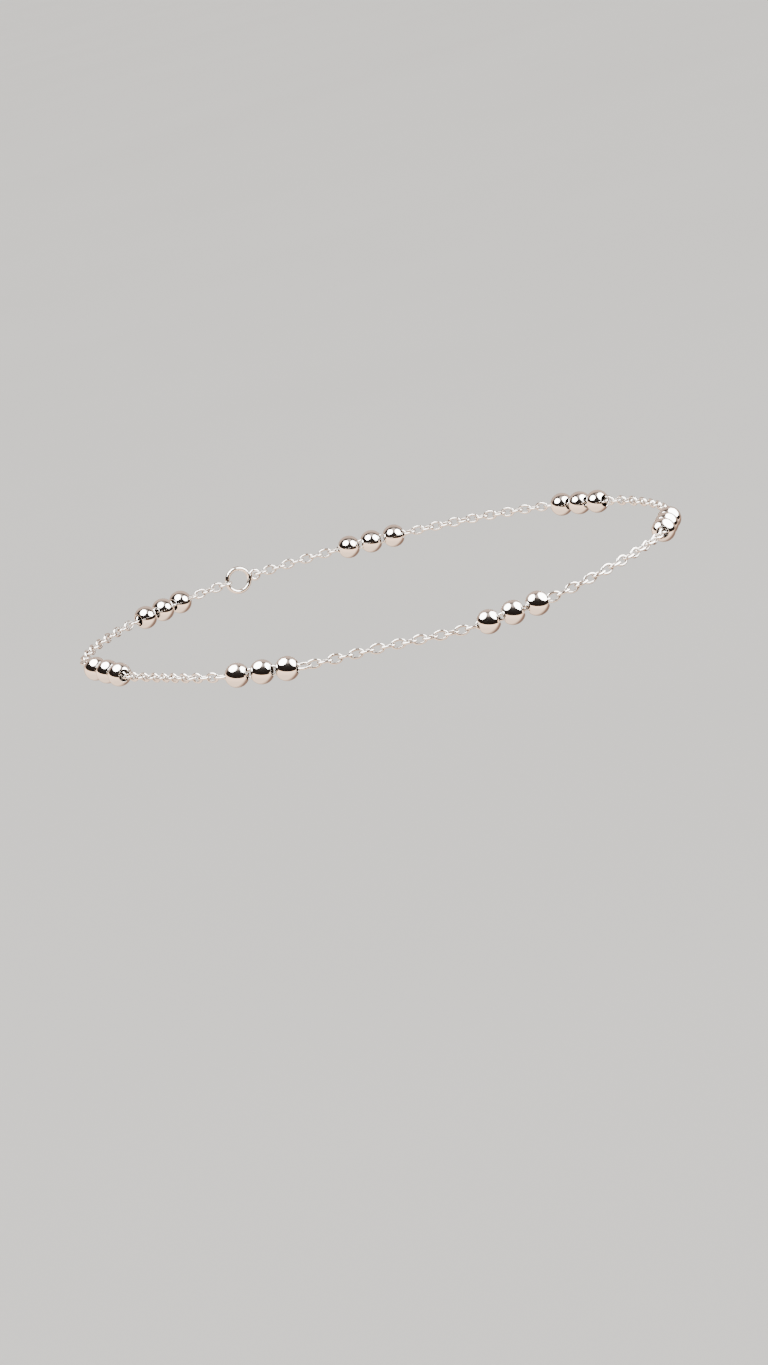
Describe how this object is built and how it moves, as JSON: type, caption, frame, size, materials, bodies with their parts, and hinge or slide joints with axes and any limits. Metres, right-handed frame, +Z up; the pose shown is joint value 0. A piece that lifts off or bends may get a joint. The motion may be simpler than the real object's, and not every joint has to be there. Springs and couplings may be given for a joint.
{
  "type": "beaded anklet",
  "caption": "Anklet of fine silver cable chain with polished drilled ball beads in evenly spaced groups and a plain ring clasp, in its worn oval form.",
  "frame": {"origin": "the middle of the loop, on the ankle's axis, where the anklet sits", "axes": "+Z up along the ankle, +X towards the toes, -Y the side of the ankle that is seen"},
  "size_m": [0.0918, 0.0732, 0.0061],
  "materials": {
    "bead_silver": "mirror-polished sterling silver",
    "chain_silver": "bright polished sterling silver wire, slightly worn where the links bear on each other"
  },
  "bodies": {
    "root": {"chain": "chain_silver", "clasp": "chain_silver", "bead_1_1": "bead_silver", "bead_1_2": "bead_silver", "bead_1_3": "bead_silver", "bead_2_1": "bead_silver", "bead_2_2": "bead_silver", "bead_2_3": "bead_silver", "bead_3_1": "bead_silver", "bead_3_2": "bead_silver", "bead_3_3": "bead_silver", "bead_4_1": "bead_silver", "bead_4_2": "bead_silver", "bead_4_3": "bead_silver", "bead_5_1": "bead_silver", "bead_5_2": "bead_silver", "bead_5_3": "bead_silver", "bead_6_1": "bead_silver", "bead_6_2": "bead_silver", "bead_6_3": "bead_silver", "bead_7_1": "bead_silver", "bead_7_2": "bead_silver", "bead_7_3": "bead_silver"}
  },
  "joints": []
}
